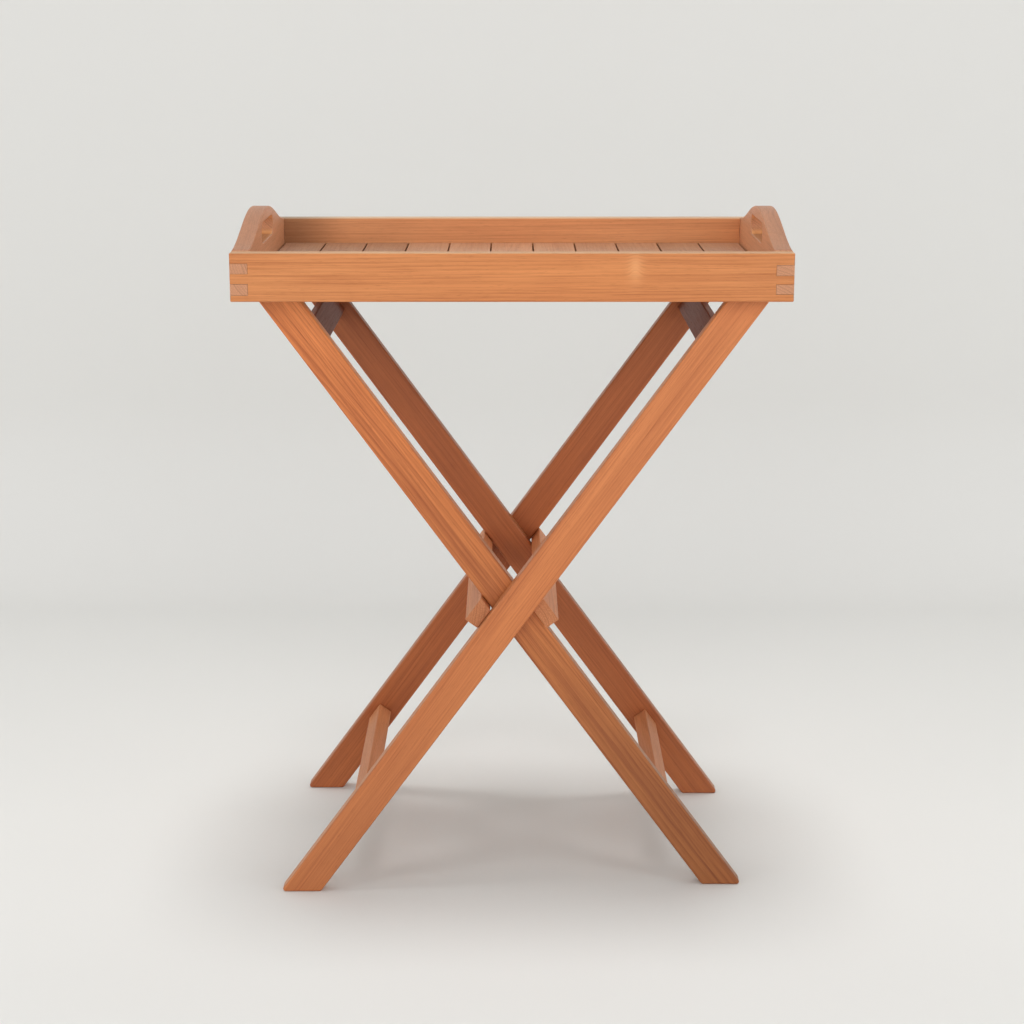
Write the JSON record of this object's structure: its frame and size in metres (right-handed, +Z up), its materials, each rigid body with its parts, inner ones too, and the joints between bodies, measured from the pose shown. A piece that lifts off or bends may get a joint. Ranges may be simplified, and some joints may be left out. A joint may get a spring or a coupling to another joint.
{
  "type": "folding tray table",
  "caption": "Folding tray table in solid teak: a lift-off tray with shaped ends and hand slots on a crossed folding stand.",
  "frame": {"origin": "on the floor under the middle of the tray", "axes": "+X along the tray from the left end board to the right one, +Y from the front to the back, +Z up; the front is the side where the outer frame's leg crosses over the inner frame's"},
  "size_m": [0.6, 0.4, 0.7665],
  "materials": {
    "teak_legs": "oiled teak, straight grain along the leg, satin",
    "teak_bars": "oiled teak, slightly duller and pinker, satin",
    "teak_rails": "oiled teak, fine straight grain, satin",
    "teak_end_boards": "oiled teak, satin, shaped and eased edges",
    "teak_slats": "oiled teak, satin",
    "teak_battens": "plain sanded teak",
    "dowel_wood": "plain beech dowel",
    "steel": "stainless steel"
  },
  "bodies": {
    "outer_frame": {"outer_crossbar": "teak_bars", "outer_foot_stretcher": "teak_bars", "outer_front_leg": "teak_legs", "outer_rear_leg": "teak_legs", "outer_stop_bar": "teak_bars", "outer_stop_dowel_front": "dowel_wood", "outer_stop_dowel_rear": "dowel_wood", "pivot_pin_front": "steel", "pivot_pin_rear": "steel", "pivot_washer_front": "steel", "pivot_washer_rear": "steel"},
    "inner_frame": {"inner_crossbar": "teak_bars", "inner_foot_stretcher": "teak_bars", "inner_front_leg": "teak_legs", "inner_rear_leg": "teak_legs", "inner_stop_bar": "teak_bars", "inner_stop_dowel_front": "dowel_wood", "inner_stop_dowel_rear": "dowel_wood"},
    "tray": {"front_batten": "teak_battens", "front_rail": "teak_rails", "front_screw_01": "steel", "front_screw_02": "steel", "front_screw_03": "steel", "front_screw_04": "steel", "front_screw_05": "steel", "front_screw_06": "steel", "front_screw_07": "steel", "front_screw_08": "steel", "front_screw_09": "steel", "front_screw_10": "steel", "front_screw_11": "steel", "left_end_board": "teak_end_boards", "rear_batten": "teak_battens", "rear_rail": "teak_rails", "rear_screw_01": "steel", "rear_screw_02": "steel", "rear_screw_03": "steel", "rear_screw_04": "steel", "rear_screw_05": "steel", "rear_screw_06": "steel", "rear_screw_07": "steel", "rear_screw_08": "steel", "rear_screw_09": "steel", "rear_screw_10": "steel", "rear_screw_11": "steel", "right_end_board": "teak_end_boards", "slat_01": "teak_slats", "slat_02": "teak_slats", "slat_03": "teak_slats", "slat_04": "teak_slats", "slat_05": "teak_slats", "slat_06": "teak_slats", "slat_07": "teak_slats", "slat_08": "teak_slats", "slat_09": "teak_slats", "slat_10": "teak_slats", "slat_11": "teak_slats"}
  },
  "joints": [
    {"name": "stand_fold", "type": "hinge", "parent": "outer_frame", "child": "inner_frame", "pos_m": [0, 0, 0.333], "axis": [0, 1, 0], "range_deg": [0, 65.5]},
    {"name": "tray_lift", "type": "slide", "parent": "outer_frame", "child": "tray", "axis": [0, 0, 1], "range_m": [0, 0.42]}
  ],
  "couplings": [
    {"joint": "tray_lift", "follows": "stand_fold", "m_per_rad": 0.36}
  ]
}
